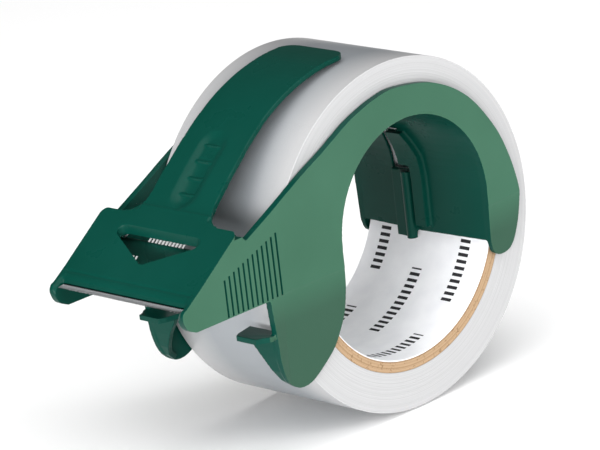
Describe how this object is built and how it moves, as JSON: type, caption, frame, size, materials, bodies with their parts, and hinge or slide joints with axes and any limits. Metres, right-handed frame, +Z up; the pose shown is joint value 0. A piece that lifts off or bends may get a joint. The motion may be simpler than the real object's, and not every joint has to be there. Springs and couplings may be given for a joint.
{
  "type": "hand tape dispenser",
  "caption": "Hand-held packing tape dispenser: green plastic body straddling a full tape roll, serrated blade at the front, arched thumb brake over the roll, open hub.",
  "frame": {"origin": "centre of the tape roll, on its axis and on the mid-plane", "axes": "+Y along the roll's axis towards the far cheek, -X towards the cutting blade, +Z up; the lower edges of the front cheeks are level"},
  "size_m": [0.146, 0.056, 0.1082],
  "materials": {
    "green_plastic": "satin moulded plastic, dark green",
    "blade_steel": "bright stamped steel strip",
    "tape_film": "clear glossy film with faint white marks",
    "wound_tape": "glossy wound film, milky white-grey",
    "cardboard": "raw tan cardboard, cut end",
    "paper_liner": "matt white paper with plain dark marks"
  },
  "bodies": {
    "root": {"front_plate": "green_plastic", "near_front_cheek": "green_plastic", "far_front_cheek": "green_plastic", "blade_seat": "green_plastic", "blade_stake_1": "green_plastic", "blade_stake_2": "green_plastic", "blade_stake_3": "green_plastic", "guide_wall": "green_plastic", "plate_skirt": "green_plastic", "cutter_blade": "blade_steel", "tape_lead": "tape_film"},
    "brake": {"thumb_brake": "green_plastic"},
    "near_side": {"near_side_cheek": "green_plastic", "near_lobe_flange": "green_plastic", "near_lobe_tab": "green_plastic", "near_hub_shell": "green_plastic", "near_latch_gusset": "green_plastic"},
    "far_side": {"far_side_cheek": "green_plastic", "far_lobe_flange": "green_plastic", "far_lobe_tab": "green_plastic", "far_hub_shell": "green_plastic", "far_latch_rib": "green_plastic"},
    "roll": {"tape_winding": "wound_tape", "cardboard_core": "cardboard", "core_liner": "paper_liner"}
  },
  "joints": [
    {"name": "roll_spin", "type": "hinge", "parent": "root", "child": "roll", "pos_m": [0, 0, 0], "axis": [0, 1, 0], "continuous": true},
    {"name": "brake_press", "type": "hinge", "parent": "root", "child": "brake", "pos_m": [-0.0679, 0, 0.0219], "axis": [0, 1, 0], "range_deg": [-6, 0.5], "stiffness_Nm_per_rad": 1.5},
    {"name": "near_flex", "type": "hinge", "parent": "root", "child": "near_side", "pos_m": [-0.066, -0.0268, 0], "axis": [0, 0, -1], "range_deg": [0, 5], "stiffness_Nm_per_rad": 2.5},
    {"name": "far_flex", "type": "hinge", "parent": "root", "child": "far_side", "pos_m": [-0.066, 0.0268, 0], "axis": [0, 0, 1], "range_deg": [0, 5], "stiffness_Nm_per_rad": 2.5}
  ]
}
